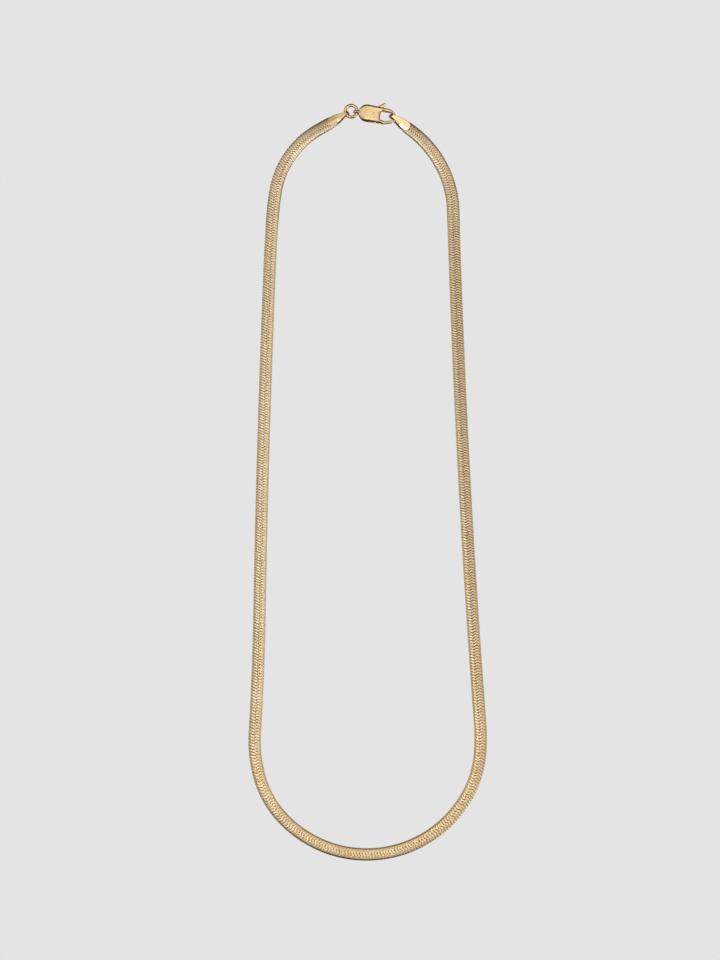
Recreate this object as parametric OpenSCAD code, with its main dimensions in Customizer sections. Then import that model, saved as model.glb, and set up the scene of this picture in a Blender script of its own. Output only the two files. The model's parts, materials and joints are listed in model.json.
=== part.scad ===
// Herringbone chain necklace, fastened and laid flat on a table.
// The loop lies in the XY plane with its clasp towards +Y, and the table is z = 0.
// The origin is the middle of the loop's box, on the table.

/* [Chain] */
// Length of the woven chain, between its two ends inside the tabs
chain_len = 434.6; // [415:0.2:470]
// Width of the woven chain
band_w = 3.3; // [2.8:0.1:4]
// Thickness of the woven chain
band_t = 1.1; // [0.9:0.05:1.3]
// Width of the slope along each edge of the chain
edge_w = 0.48; // [0.3:0.02:0.7]
// Height of the upright side of the chain, below and above which it slopes
edge_h = 0.42; // [0.2:0.02:0.6]
// Height by which the middle of the chain's face stands above its shoulders
crown_h = 0.07; // [0.02:0.01:0.15]
// Width that each end of the chain narrows to inside its tab
end_w = 1.9; // [1.4:0.1:2.1]
// Length over which each end of the chain narrows
taper_len = 2.6; // [1.5:0.1:4]
// Length over which each end of the chain comes down from its tab to the table
drop_len = 16; // [8:1:25]
// Roll of each end about its own length, with the inner side of the loop raised
end_roll = 10; // [0:1:12]

/* [End tabs] */
// Length of an end tab, from its fold to the round end of its leaves
tab_len = 6.4; // [5.4:0.1:8]
// Width of the leaves of an end tab
tab_w = 2.45; // [2.2:0.05:3]
// Width of an end tab at its fold
neck_w = 0.95; // [0.8:0.05:1.1]
// Thickness of the sheet that a tab is folded from
tab_sheet = 0.3; // [0.24:0.01:0.34]
// Gap between the chain and each leaf of its tab
leaf_gap = 0.1; // [0.05:0.01:0.15]
// Length of chain held between the leaves
tab_grip = 2.2; // [1.5:0.1:3]
// Direction of the left tab, from the chain towards the jump ring
left_tab_dir = 29.5; // [20:0.1:40]
// Direction of the right tab, from the hook towards the chain
right_tab_dir = -36; // [-46:0.1:-28]

/* [Jump ring] */
// Outer diameter of the jump ring
ring_d = 3.9; // [3.6:0.1:4.6]
// Diameter of the jump ring's wire
ring_wire = 0.78; // [0.6:0.02:0.84]
// Play between the jump ring and what it holds
ring_play = 0.06; // [0.04:0.01:0.12]

/* [Clasp] */
// Direction of the clasp, from its eye towards its hook
clasp_dir = -8.4; // [-20:0.1:5]
// Width of the clasp's body
body_w = 4.45; // [4.2:0.1:5.2]
// Thickness of the clasp's body at its middle
body_t = 2.6; // [2.6:0.05:3]
// Thickness of the clasp's hook
hook_t = 0.8; // [0.6:0.02:0.84]
// Width of the clasp's body where it meets its eye
front_w = 1.45; // [1.1:0.05:2]
// Length of the round shoulders at the front of the body
shoulder_len = 2.1; // [1.4:0.1:2.6]
// Radius across the body of its crowned faces
face_r = 5.1; // [4:0.1:9]
// Width of the bar above the clasp's window
top_bar = 1.25; // [1:0.05:1.5]
// Width of the cheeks below the clasp's window
cheek_h = 0.9; // [0.7:0.05:1.1]
// Length of wall between the lever's pin and the window
window_wall = 1.75; // [1.5:0.05:1.9]
// Width of the bar that the hook ends in
hook_bar = 0.68; // [0.55:0.05:0.9]
// Outer radius of the hook
hook_r = 2.25; // [1.9:0.05:2.4]
// Width of the eye that holds the jump ring
eye_w = 0.84; // [0.6:0.02:1]
// Wall of the eye that holds the jump ring
eye_wall = 0.45; // [0.35:0.05:0.6]

/* [Lever] */
// Distance from the body's front to the lever's pin
pin_x = 4; // [3.6:0.1:4.5]
// Distance from the lever's pin to the free end of its gate
lever_reach = 5.35; // [5.1:0.05:5.8]
// Width of the gate that closes the hook
gate_w = 0.78; // [0.6:0.02:0.8]
// Thickness of the lever
lever_t = 0.8; // [0.6:0.02:0.9]
// Radius of the lever's round hub
hub_r = 0.95; // [0.75:0.05:1.05]
// Diameter of the lever's pin
pin_d = 0.7; // [0.5:0.02:0.9]
// Play between the lever and the walls of its slot, on each side
lever_play = 0.08; // [0.05:0.01:0.12]
// Play between the pin and the lever's bore
pin_play = 0.04; // [0.02:0.01:0.07]
// Height of the thumb nub above the pin
nub_h = 3.2; // [2.9:0.05:3.4]

/* [Hidden] */
$fn = 48;
ARC_STEPS = 8;
BAND_STEP = 3.2;
TAPER_STEPS = 5;
CUT = 10;
HALF_TURN = 180;
FULL_TURN = 360;

gold = [0.85, 0.67, 0.36];
pale_gold = [0.9, 0.76, 0.48];
deep_gold = [0.74, 0.55, 0.26];

// Heights above the table
mid_z = body_t / 2;

// The clasp's own frame: x runs from the front of its body to its hook
pin_drop = 0.15;
pin_at = [pin_x, -pin_drop];
body_top = body_w / 2;
window_x = pin_x + window_wall;
window_top = body_top - top_bar;
window_low = -body_top + cheek_h;
cheek_end = window_x + 1.1;
hook_in = lever_reach + 0.08;
hook_end = pin_x + hook_in + hook_bar;
hook_at = [hook_end - hook_r - 0.2, body_top - hook_r - 0.3];
nub_r = 0.3;
nub_at = pin_at + [nub_h * 0.78, nub_h];
bore_play = 0.02;

// The eye and the ring in it, in the clasp's frame
ring_mid_r = (ring_d - ring_wire) / 2;
ring_in_r = ring_mid_r - ring_wire / 2;
eye_r = ring_wire / 2 + 4 * ring_play;
ring_drop = 0.1;
ring_at = [-ring_play - ring_d / 2, -ring_drop];
eye_x = ring_at.x + sqrt(pow(ring_in_r, 2) - pow(eye_w / 2, 2)) + eye_r - ring_play;

// The tabs: the fold's inside just holds the chain between its leaves
fold_in = band_t / 2 + leaf_gap;
fold_out = fold_in + tab_sheet;
chain_in_tab = tab_len - fold_out - tab_grip;
ring_seat = sqrt(pow(ring_in_r, 2) - pow(neck_w / 2, 2)) - ring_play;
seat_back = 0.96;
seat_up = 0.32;
hook_seat = [pin_x + hook_in - seat_back, seat_up];

function turned(p, a) = [p.x * cos(a) - p.y * sin(a), p.x * sin(a) + p.y * cos(a)];
function along(a, d) = [d * cos(a), d * sin(a)];

// Places on the table, before the loop is centred: the clasp's front is at [0, 0]
left_dir = left_tab_dir + HALF_TURN;
left_fold = turned(ring_at, clasp_dir) + along(left_dir, ring_seat + fold_in);
right_fold = turned(hook_seat, clasp_dir) + along(right_tab_dir, fold_in);
chain_start = left_fold + along(left_dir, chain_in_tab);
chain_end = right_fold + along(right_tab_dir, chain_in_tab);

// The chain's route, a row for each stretch from the left tab round to the right one.
// Columns: share of the chain's length, and turn to the left in degrees. The two limbs
// and the base take the lengths that close the loop, and the base the turn that is left.
SHARE = 0;
TURN = 1;
LEFT_LIMB = 4;
BASE = 8;
RIGHT_LIMB = 11;
route = [
    [0.012, 0],
    [0.046, 50.5],
    [0.015, 5.7],
    [0.032, 1.9],
    [0, 1.4],
    [0.075, -2.4],
    [0.026, 17.8],
    [0.03, 28.5],
    [0, 0],
    [0.03, 27],
    [0.018, 7.8],
    [0, -2.6],
    [0.025, 23.8],
    [0.03, 27],
    [0.008, 1.5]
];
closers = [LEFT_LIMB, BASE, RIGHT_LIMB];

function sum(v, i = 0) = i >= len(v) ? 0 * v[0] : v[i] + sum(v, i + 1);
function first(v, n) = [for (i = [0 : 1 : n - 1]) v[i]];
function before(v, i) = i == 0 ? 0 * v[0] : sum(first(v, i));

// The end of an arc of length 1 that starts along h and turns by a
function chord(h, a) = a == 0
    ? along(h, 1)
    : 180 / (PI * a) * [sin(h + a) - sin(h), cos(h) - cos(h + a)];

whole_turn = FULL_TURN + HALF_TURN + right_tab_dir - left_dir;
turns = [for (i = [0 : len(route) - 1])
    i == BASE ? whole_turn - sum([for (r = route) r[TURN]]) : route[i][TURN]];
headings = [for (i = [0 : len(route)]) left_dir + before(turns, i)];
chords = [for (i = [0 : len(route) - 1]) chord(headings[i], turns[i])];

// Three equations give the three closing lengths: x, y and the chain's whole length
set_len = [for (r = route) r[SHARE] * chain_len];
set_way = sum([for (i = [0 : len(route) - 1]) set_len[i] * chords[i]]);
gap = chain_end - chain_start - set_way;
columns = [for (i = closers) [chords[i].x, chords[i].y, 1]];
wanted = [gap.x, gap.y, chain_len - sum(set_len)];
function det(a, b, c) = a * cross(b, c);
closed = [
    det(wanted, columns[1], columns[2]),
    det(columns[0], wanted, columns[2]),
    det(columns[0], columns[1], wanted)
] / det(columns[0], columns[1], columns[2]);
lengths = [for (i = [0 : len(route) - 1])
    i == LEFT_LIMB ? closed[0] : i == BASE ? closed[1] : i == RIGHT_LIMB ? closed[2] : set_len[i]];
starts = [for (i = [0 : len(route) - 1])
    chain_start + before([for (k = [0 : len(route) - 1]) lengths[k] * chords[k]], i)];
marks = [for (i = [0 : len(route) - 1]) before(lengths, i)];

function stretch_of(s) = max(0, len([for (m = marks) if (m <= s) m]) - 1);
function heading_in(i, s) = headings[i] + turns[i] * (s - marks[i]) / lengths[i];
function heading_at(s) = heading_in(stretch_of(s), s);
function place_in(i, s) =
    starts[i] + (s - marks[i]) * chord(headings[i], turns[i] * (s - marks[i]) / lengths[i]);
function place_at(s) = place_in(stretch_of(s), s);

// Stations along the chain: close together where its ends narrow
taper_marks = [for (i = [0 : TAPER_STEPS - 1]) taper_len * i / TAPER_STEPS];
run_len = chain_len - 2 * taper_len;
run_steps = ceil(run_len / BAND_STEP);
stations = concat(
    taper_marks,
    [for (i = [0 : run_steps]) taper_len + run_len * i / run_steps],
    [for (i = [TAPER_STEPS - 1 : -1 : 0]) chain_len - taper_marks[i]]
);

// The loop's box, which the origin is the middle of
path = [for (s = stations) place_at(s)];
top_y = max(turned(ring_at, clasp_dir).y + ring_d / 2, turned(nub_at, clasp_dir).y + nub_r);
loop_x = [min([for (p = path) p.x]), max([for (p = path) p.x])];
loop_y = [min([for (p = path) p.y]) - band_w / 2, top_y];
middle = [(loop_x[0] + loop_x[1]) / 2, (loop_y[0] + loop_y[1]) / 2];

function smooth(u) = u * u * (3 - 2 * u);
function end_share(s) =
    1 - smooth(min(1, max(0, (min(s, chain_len - s) - tab_grip) / drop_len)));
function round_share(s) = min(1, min(s, chain_len - s) / taper_len);
function half_w(s) =
    end_w / 2 + (band_w - end_w) / 2 * sqrt(1 - pow(1 - round_share(s), 2));

// The chain's section, as [inwards, up] points, for a half width h
function section(h) = let (t = band_t / 2, e = edge_h / 2, k = t - crown_h) [
    [-h + edge_w, -t], [h - edge_w, -t], [h, -e], [h, e],
    [h - edge_w, k], [0, t], [-h + edge_w, k], [-h, e], [-h, -e]
];
POINTS = len(section(1));

function ring_of(s) = let (
    i = stretch_of(s),
    p = place_in(i, s) - middle,
    a = heading_in(i, s) + 90,
    k = end_share(s),
    z = band_t / 2 + (mid_z - band_t / 2) * k
) [for (q = section(half_w(s)))
    let (r = turned(q, end_roll * k)) [p.x + r.x * cos(a), p.y + r.x * sin(a), z + r.y]];

// Solids
module herringbone_band() {
    points = [for (s = stations) each ring_of(s)];
    last = (len(stations) - 1) * POINTS;
    start_cap = [for (i = [1 : POINTS - 2]) [0, i, i + 1]];
    end_cap = [for (i = [1 : POINTS - 2]) [last, last + i + 1, last + i]];
    sides = [for (r = [0 : len(stations) - 2], i = [0 : POINTS - 1])
        let (a = r * POINTS + i, b = r * POINTS + (i + 1) % POINTS)
            each [[a, b + POINTS, b], [a, a + POINTS, b + POINTS]]];
    color(gold) polyhedron(points, concat(start_cap, end_cap, sides));
}

module on_table(p, a) {
    translate([p.x - middle.x, p.y - middle.y, mid_z]) rotate(a) children();
}

// Outline of a tab's leaves. Columns: share of the length, share of the widening.
LEAF = [[0, 0], [0.2, 0], [0.34, 0.3], [0.5, 0.72], [0.62, 0.95], [0.72, 1], [0.82, 0.98]];
module leaf_outline() {
    neck = neck_w / 2;
    full = tab_w / 2;
    round_x = LEAF[len(LEAF) - 1][0] * tab_len;
    round_y = neck + (full - neck) * LEAF[len(LEAF) - 1][1];
    edge = concat(
        [for (r = LEAF) [r[0] * tab_len, neck + (full - neck) * r[1]]],
        [for (i = [1 : ARC_STEPS - 1]) let (a = 90 * i / ARC_STEPS)
            [round_x + (tab_len - round_x) * sin(a), round_y * cos(a)]]
    );
    count = len(edge);
    translate([-fold_out, 0]) polygon(concat(
        edge,
        [[tab_len, 0]],
        [for (i = [count - 1 : -1 : 0]) [edge[i].x, -edge[i].y]]
    ));
}

module fold_profile() {
    difference() {
        union() {
            circle(fold_out);
            translate([0, -fold_out]) square([tab_len - fold_out, 2 * fold_out]);
        }
        circle(fold_in);
        translate([0, -fold_in]) square([tab_len, 2 * fold_in]);
    }
}

module tab() {
    intersection() {
        rotate([90, 0, 0]) linear_extrude(CUT, center = true) fold_profile();
        linear_extrude(4 * fold_out, center = true) leaf_outline();
    }
}

module end_tab_left() {
    color(pale_gold) on_table(left_fold, left_dir) rotate([end_roll, 0, 0]) tab();
}

module end_tab_right() {
    color(pale_gold) on_table(right_fold, right_tab_dir) rotate([-end_roll, 0, 0]) tab();
}

module jump_ring() {
    color(gold) on_table(turned(ring_at, clasp_dir), 0)
        rotate_extrude() translate([ring_mid_r, 0]) circle(ring_wire / 2, $fn = 24);
}

function arc(c, rx, ry, from, to) = [for (i = [0 : ARC_STEPS])
    let (a = from + (to - from) * i / ARC_STEPS) [c.x + rx * cos(a), c.y + ry * sin(a)]];

// The body seen from above: shoulders, cheeks, the window's inside, and the hook
module body_outline() {
    tip_r = hook_bar / 2;
    tip_a = -9.5;
    tip = pin_at + along(tip_a, hook_in + tip_r);
    lip = 0.3;
    corner = 0.5;
    hook_corner = 1.1;
    hook_y = window_top - 0.9;
    front_a = 35;
    shoulder_rx = shoulder_len / cos(front_a);
    shoulder_ry = (body_top - front_w / 2) / (1 - sin(front_a));
    shoulder_y = body_top - shoulder_ry;
    polygon(concat(
        arc([shoulder_len, -shoulder_y], shoulder_rx, shoulder_ry, HALF_TURN + front_a, 270),
        arc([cheek_end - lip, -body_top + lip], lip, lip, 270, 360),
        [[cheek_end, window_low]],
        arc([window_x + corner, window_low + corner], corner, corner, 270, 180),
        arc([window_x + corner, window_top - corner], corner, corner, 180, 90),
        arc([pin_x + hook_in - hook_corner, hook_y], hook_corner, window_top - hook_y, 90, 12),
        [for (a = [1, -4]) pin_at + along(a, hook_in)],
        arc(tip, tip_r, tip_r, HALF_TURN + tip_a, FULL_TURN + tip_a),
        arc(hook_at, hook_r, hook_r, 12, 90),
        arc([shoulder_len, shoulder_y], shoulder_rx, shoulder_ry, 90, HALF_TURN - front_a)
    ));
}

// The body seen from the side: full at its middle, thin at its hook
module body_side() {
    t = body_t / 2;
    h = hook_t / 2;
    front_share = 0.7;
    slope_lead = 0.7;
    upper = [
        [0, front_share * t], [front_share * shoulder_len, t], [window_x - slope_lead, t],
        [hook_at.x + hook_r / 2, h], [hook_end + CUT, h]
    ];
    polygon(concat(upper, [for (i = [len(upper) - 1 : -1 : 0]) [upper[i].x, -upper[i].y]]));
}

module clasp_shell() {
    intersection() {
        linear_extrude(body_t, center = true) body_outline();
        rotate([90, 0, 0]) linear_extrude(CUT, center = true) body_side();
        for (side = [-1, 1])
            translate([-CUT / 2, 0, side * (face_r - body_t / 2)]) rotate([0, 90, 0])
                cylinder(r = face_r, h = hook_end + CUT);
    }
}

module eye_cylinder(r, h) {
    translate([eye_x, ring_at.y, 0]) rotate([90, 0, 0]) cylinder(r = r, h = h, center = true);
}

module clasp_body() {
    slot_t = lever_t + 2 * lever_play;
    slot_x = pin_x - hub_r - 0.12;
    slot_end = cheek_end + 0.15;
    color(pale_gold) on_table([0, 0], clasp_dir)
        difference() {
            union() {
                clasp_shell();
                eye_cylinder(eye_r + eye_wall, eye_w);
            }
            eye_cylinder(eye_r, 2 * eye_w);
            translate([slot_x, -CUT / 2, -slot_t / 2]) cube([slot_end - slot_x, CUT, slot_t]);
            translate([pin_at.x, pin_at.y, 0])
                cylinder(r = pin_d / 2 + bore_play, h = CUT, center = true);
        }
}

// The lever seen from above, with its pin at [0, 0]
module lever_outline() {
    cap_r = gate_w / 2;
    cap_dir = -14.5;
    cap = along(cap_dir, lever_reach - cap_r);
    bend = [2.9, cap.y - 0.52];
    gate_dir = atan2(cap.y - bend.y, cap.x - bend.x);
    side = along(gate_dir + 90, cap_r);
    nub = nub_at - pin_at;
    heel = [205, 255];
    web = [-20, 140];
    nub_sides = [-20, 125];
    circle(hub_r);
    translate(cap) circle(cap_r);
    translate(nub) circle(nub_r);
    polygon([
        along(heel[0], hub_r), along(heel[1], hub_r), [2.0, bend.y - cap_r + 0.12],
        bend - side, cap - side, cap + side, bend + side,
        [window_wall + 0.1, window_low - pin_at.y - 0.06], along(web[0], hub_r)
    ]);
    polygon([
        along(web[0], hub_r), [window_wall - 0.2, window_top - pin_at.y],
        [nub.x - nub_r, body_top - 0.1], nub + along(nub_sides[0], nub_r),
        nub + along(nub_sides[1], nub_r), [nub.x - 1.6, body_top + 0.15], along(web[1], hub_r)
    ]);
}

module clasp_lever() {
    color(deep_gold) on_table([0, 0], clasp_dir) translate([pin_at.x, pin_at.y, 0])
        difference() {
            linear_extrude(lever_t, center = true) lever_outline();
            cylinder(r = pin_d / 2 + pin_play, h = CUT, center = true);
        }
}

module lever_pin() {
    color(deep_gold) on_table([0, 0], clasp_dir)
        translate([pin_at.x, pin_at.y, 0]) cylinder(d = pin_d, h = body_t - bore_play, center = true);
}

herringbone_band();
end_tab_left();
end_tab_right();
jump_ring();
clasp_body();
clasp_lever();
lever_pin();
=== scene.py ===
"""Looks of a fastened herringbone chain: its woven rows, end tabs, jump ring and lever clasp."""
import json
import logging
import math
from dataclasses import dataclass
from enum import Enum
from typing import Callable, Mapping, Sequence

import bpy
import numpy as np
from mathutils.kdtree import KDTree
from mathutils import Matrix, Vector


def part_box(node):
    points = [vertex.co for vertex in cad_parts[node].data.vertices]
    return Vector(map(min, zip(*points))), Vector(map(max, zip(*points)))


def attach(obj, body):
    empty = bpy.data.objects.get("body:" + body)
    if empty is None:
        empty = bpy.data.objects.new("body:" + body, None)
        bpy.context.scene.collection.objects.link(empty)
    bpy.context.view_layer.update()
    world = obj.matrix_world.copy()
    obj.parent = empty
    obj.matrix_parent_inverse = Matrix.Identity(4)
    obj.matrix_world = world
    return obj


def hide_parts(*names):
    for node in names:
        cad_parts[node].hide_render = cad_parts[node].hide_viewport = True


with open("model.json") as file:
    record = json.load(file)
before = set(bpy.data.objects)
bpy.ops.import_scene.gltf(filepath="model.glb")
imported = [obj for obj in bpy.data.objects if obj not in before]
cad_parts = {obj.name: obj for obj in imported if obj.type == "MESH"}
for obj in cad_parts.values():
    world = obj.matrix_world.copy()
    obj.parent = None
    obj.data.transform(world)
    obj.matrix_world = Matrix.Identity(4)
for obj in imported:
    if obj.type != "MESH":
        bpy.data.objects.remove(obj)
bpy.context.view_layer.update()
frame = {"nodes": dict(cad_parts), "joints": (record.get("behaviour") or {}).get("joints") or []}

LOG = logging.getLogger("herringbone")
MM = 0.001
HALF_TURN = 180.0
FULL_TURN = 360.0
WELD_SHARE = 0.02
# Where a colour mix takes its share and its two colours, and where it gives the result
MIX_SHARE, MIX_LOW, MIX_HIGH, MIX_RESULT = 0, 6, 7, 2


class Body(Enum):
    """The two bodies that pieces ride on."""

    NECKLACE = "necklace"
    LEVER = "lever"


class Slot(Enum):
    """The record's material slots."""

    CHAIN = "chain_gold"
    TAB = "tab_gold"
    RING = "ring_gold"
    CLASP = "clasp_gold"
    LEVER = "lever_gold"


# Shader maths

class Socket:
    """The output of a node, which shader maths is written with."""

    def __init__(self, tree: "ShaderTree", link: bpy.types.NodeSocket | None) -> None:
        """Keeps the tree that new nodes go in and the output itself."""
        self.tree = tree
        self.link = link

    def maths(self, operation: str, *values: "Socket | float") -> "Socket":
        """Adds a Math node.

        Args:
            operation: The Math node's operation.
            values: What its sockets take, in order.

        Returns:
            The node's result.
        """
        return self.tree.add("ShaderNodeMath", {"operation": operation}, dict(enumerate(values)))

    def size(self) -> "Socket":
        """This value without its sign."""
        return self.maths("ABSOLUTE", self)

    def __add__(self, other: "Socket | float") -> "Socket":
        """This value plus another."""
        return self.maths("ADD", self, other)

    def __radd__(self, other: float) -> "Socket":
        """A number plus this value."""
        return self.maths("ADD", other, self)

    def __sub__(self, other: "Socket | float") -> "Socket":
        """This value minus another."""
        return self.maths("SUBTRACT", self, other)

    def __rsub__(self, other: float) -> "Socket":
        """A number minus this value."""
        return self.maths("SUBTRACT", other, self)

    def __mul__(self, other: "Socket | float") -> "Socket":
        """This value times another."""
        return self.maths("MULTIPLY", self, other)

    def __rmul__(self, other: float) -> "Socket":
        """A number times this value."""
        return self.maths("MULTIPLY", other, self)

    def fade(self, low: float, high: float) -> "Socket":
        """Fades smoothly from 0 to 1.

        Args:
            low: The value at which the fade starts.
            high: The value at which it has reached 1.

        Returns:
            The share, from 0 to 1.
        """
        settings = {"interpolation_type": "SMOOTHSTEP"}
        return self.tree.add("ShaderNodeMapRange", settings,
                             {"Value": self, "From Min": low, "From Max": high})


class ShaderTree:
    """A node tree to which every node is added by one method."""

    def __init__(self, tree: bpy.types.NodeTree) -> None:
        """Empties the tree and keeps it."""
        tree.nodes.clear()
        self.tree = tree

    def add(self, kind: str, settings: Mapping[str, object] | None = None,
            sockets: Mapping[str | int, object] | None = None, output: str | int = 0) -> Socket:
        """Adds a node.

        Args:
            kind: The node's type.
            settings: Its settings, set first.
            sockets: A value or a link for each socket named.
            output: The output to return.

        Returns:
            The chosen output.
        """
        node = self.tree.nodes.new(kind)
        for name, value in (settings or {}).items():
            setattr(node, name, value)
        for name, value in (sockets or {}).items():
            if isinstance(value, Socket):
                self.tree.links.new(value.link, node.inputs[name])
            else:
                node.inputs[name].default_value = value
        return Socket(self, node.outputs[output]) if node.outputs else Socket(self, None)

    def noise(self, vector: Socket, scale: float, detail: float = 2.0) -> Socket:
        """Adds a noise from about 0 to 1.

        Args:
            vector: Where it is read.
            scale: How fine it is, per unit of the vector.
            detail: How many finer layers it has.

        Returns:
            The noise's value.
        """
        return self.add("ShaderNodeTexNoise", {},
                        {"Vector": vector, "Scale": scale, "Detail": detail})

    def blend(self, share: Socket, low: tuple | Socket, high: tuple | Socket,
              kind: str = "MIX") -> Socket:
        """Mixes two colours.

        Args:
            share: How much of the second there is.
            low: The first colour.
            high: The second colour.
            kind: How they mix, as the Mix node names it.

        Returns:
            The mixed colour.
        """
        colours = {MIX_LOW: low if isinstance(low, Socket) else (*low, 1.0),
                   MIX_HIGH: high if isinstance(high, Socket) else (*high, 1.0)}
        return self.add("ShaderNodeMix", {"data_type": "RGBA", "blend_type": kind},
                        {MIX_SHARE: share, **colours}, MIX_RESULT)


# Finishes

@dataclass(frozen=True)
class Gold:
    """A gold surface, and what the finishes below share.

    Fields are the colour of clean and of worn metal, the roughness, how much that varies, and
    the depth in millimetres of the fine relief. Dents, marks, smears and wear say how fine
    those noises are, in waves a metre. The marks count by mark_share beside the dents, and
    worn metal fades in between the two values worn_from of its noise.
    """

    name: str
    colour: tuple[float, float, float]
    deep: tuple[float, float, float]
    roughness: float
    spread: float = 0.1
    relief: float = 0.004
    dents: float = 900.0
    marks: float = 9000.0
    mark_share: float = 0.35
    smears: float = 1500.0
    wear: float = 420.0
    worn_from: tuple[float, float] = (0.35, 0.7)

    def relief_height(self, tree: ShaderTree, place: Socket) -> Socket:
        """The fine relief: soft dents under faint wipe marks."""
        return tree.noise(place, self.dents) + self.mark_share * tree.noise(place, self.marks, 1.0)

    def worn(self, tree: ShaderTree, place: Socket) -> Socket:
        """How worn the metal is, from 0 to 1."""
        return tree.noise(place, self.wear).fade(*self.worn_from)

    def tint(self, tree: ShaderTree, place: Socket) -> Socket:
        """The metal's colour: clean, and a little deeper where it is worn."""
        return tree.blend(self.worn(tree, place), self.colour, self.deep)

    def material(self) -> bpy.types.Material:
        """Builds the material.

        Returns:
            The material, with its nodes.
        """
        made = bpy.data.materials.new(self.name)
        made.use_nodes = True
        tree = ShaderTree(made.node_tree)
        place = tree.add("ShaderNodeTexCoord", output="Object")
        smear = tree.noise(place, self.smears)
        bump = tree.add("ShaderNodeBump", {}, {
            "Strength": 1.0,
            "Distance": self.relief * MM,
            "Height": self.relief_height(tree, place)})
        surface = tree.add("ShaderNodeBsdfPrincipled", {}, {
            "Base Color": self.tint(tree, place),
            "Metallic": 1.0,
            "Roughness": self.roughness - self.spread / 2 + self.spread * smear,
            "Normal": bump})
        tree.add("ShaderNodeOutputMaterial", {}, {"Surface": surface})
        return made


@dataclass(frozen=True)
class WovenGold(Gold):
    """The flattened wires: each row has its own tone, and shade is painted dark into the gaps
    between them.

    Fields are the colour of the painted shade down in the gaps, and the row's share, beside
    the wear noise, in how deep its tone looks.
    """

    wear: float = 120.0
    # painted shade: the colour down in the gaps between the wires
    gap: tuple[float, float, float] = (0.33, 0.2, 0.09)
    row_share: float = 0.7

    def tint(self, tree: ShaderTree, place: Socket) -> Socket:
        """Colours the rows, some deeper than others, and paints shade darkest down in the gaps.

        Args:
            tree: The tree to add to.
            place: Where the noise is read.

        Returns:
            The colour.
        """
        row = tree.add("ShaderNodeAttribute", {"attribute_name": "row_tone"}, output="Fac")
        # painted shade: its share at each point, darkest down in the gaps
        down = tree.add("ShaderNodeAttribute", {"attribute_name": "painted_gap_shade"}, output="Fac")
        # the row tone holds painted light by limb beside its random share
        worn = self.row_share * row + (1 - self.row_share) * self.worn(tree, place)
        return tree.blend(down, tree.blend(worn, self.colour, self.deep), self.gap)


@dataclass(frozen=True)
class SatinGold(Gold):
    """Fine lines drawn along the clasp over a soft sheen.

    Fields are the clasp's direction in radians, how far the lines are drawn out, how fine the
    lines and the soft bands are, in waves a metre, and how much the bands count.
    """

    turn: float = 0.0
    stretch: float = 14.0
    lines: float = 5200.0
    bands: float = 1400.0
    band_share: float = 0.8

    def relief_height(self, tree: ShaderTree, place: Socket) -> Socket:
        """Lines along the clasp: a noise that is drawn out along its length."""
        along = tree.add("ShaderNodeMapping", {}, {
            "Vector": place, "Rotation": (0.0, 0.0, -self.turn),
            "Scale": (1.0 / self.stretch, 1.0, 1.0)})
        return tree.noise(along, self.lines) + self.band_share * tree.noise(along, self.bands)


# Meshes

def mesh_object(name: str, points: np.ndarray, faces: np.ndarray) -> bpy.types.Object:
    """Makes a smooth mesh object.

    Args:
        name: The piece's name.
        points: Its points, in millimetres.
        faces: Its faces, as rows of point numbers.

    Returns:
        The object, in the scene.
    """
    mesh = bpy.data.meshes.new(name)
    mesh.from_pydata(points * MM, [], faces.tolist())
    mesh.polygons.foreach_set("use_smooth", np.ones(len(mesh.polygons), bool))
    mesh.validate()
    made = bpy.data.objects.new(name, mesh)
    bpy.context.scene.collection.objects.link(made)
    return made


def ring_faces(rings: int, sides: int, closed: bool = True) -> np.ndarray:
    """Faces between rings of points.

    Args:
        rings: How many rings there are.
        sides: How many points a ring has.
        closed: Whether the last ring joins the first.

    Returns:
        Rows of four point numbers.
    """
    starts = np.arange(rings if closed else rings - 1)
    ring, side = np.meshgrid(starts, np.arange(sides), indexing="ij")
    after, beside = (ring + 1) % rings, (side + 1) % sides
    corners = [ring * sides + side, ring * sides + beside,
               after * sides + beside, after * sides + side]
    return np.stack(corners, -1).reshape(-1, 4)


def remeshed(points: np.ndarray, faces: Sequence[Sequence[int]],
             voxel: float) -> tuple[np.ndarray, np.ndarray, np.ndarray]:
    """Rebuilds a closed surface from small even cells.

    Args:
        points: Its points, in millimetres.
        faces: Its faces, as rows of point numbers.
        voxel: The size of the cells, in millimetres.

    Returns:
        The new points, their normals, and faces of four points.
    """
    mesh = bpy.data.meshes.new("draft")
    mesh.from_pydata(points, [], faces)
    draft = bpy.data.objects.new("draft", mesh)
    bpy.context.scene.collection.objects.link(draft)
    weld = draft.modifiers.new("weld", "WELD")
    weld.merge_threshold = voxel * WELD_SHARE
    remesh = draft.modifiers.new("remesh", "REMESH")
    remesh.mode = "VOXEL"
    remesh.voxel_size = voxel
    shaped = draft.evaluated_get(bpy.context.evaluated_depsgraph_get()).to_mesh()
    places = np.empty(len(shaped.vertices) * 3)
    shaped.vertices.foreach_get("co", places)
    normals = np.array([tuple(vertex.normal) for vertex in shaped.vertices])
    cells = np.array([tuple(face.vertices) for face in shaped.polygons])
    bpy.data.objects.remove(draft)
    return places.reshape(-1, 3), normals, cells


def smoothed(points: np.ndarray, faces: np.ndarray, passes: int) -> np.ndarray:
    """Moves each point halfway to the middle of its neighbours.

    Args:
        points: The points.
        faces: Faces of four points.
        passes: How many times it is done.

    Returns:
        The moved points.
    """
    here, there = faces.ravel(), np.roll(faces, -1, axis=1).ravel()
    ends, others = np.concatenate([here, there]), np.concatenate([there, here])
    count = np.bincount(ends, minlength=len(points))[:, None]
    for _ in range(passes):
        sums = np.stack([np.bincount(ends, points[others, k], len(points)) for k in range(3)], 1)
        points = (points + sums / count) / 2
    return points


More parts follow.
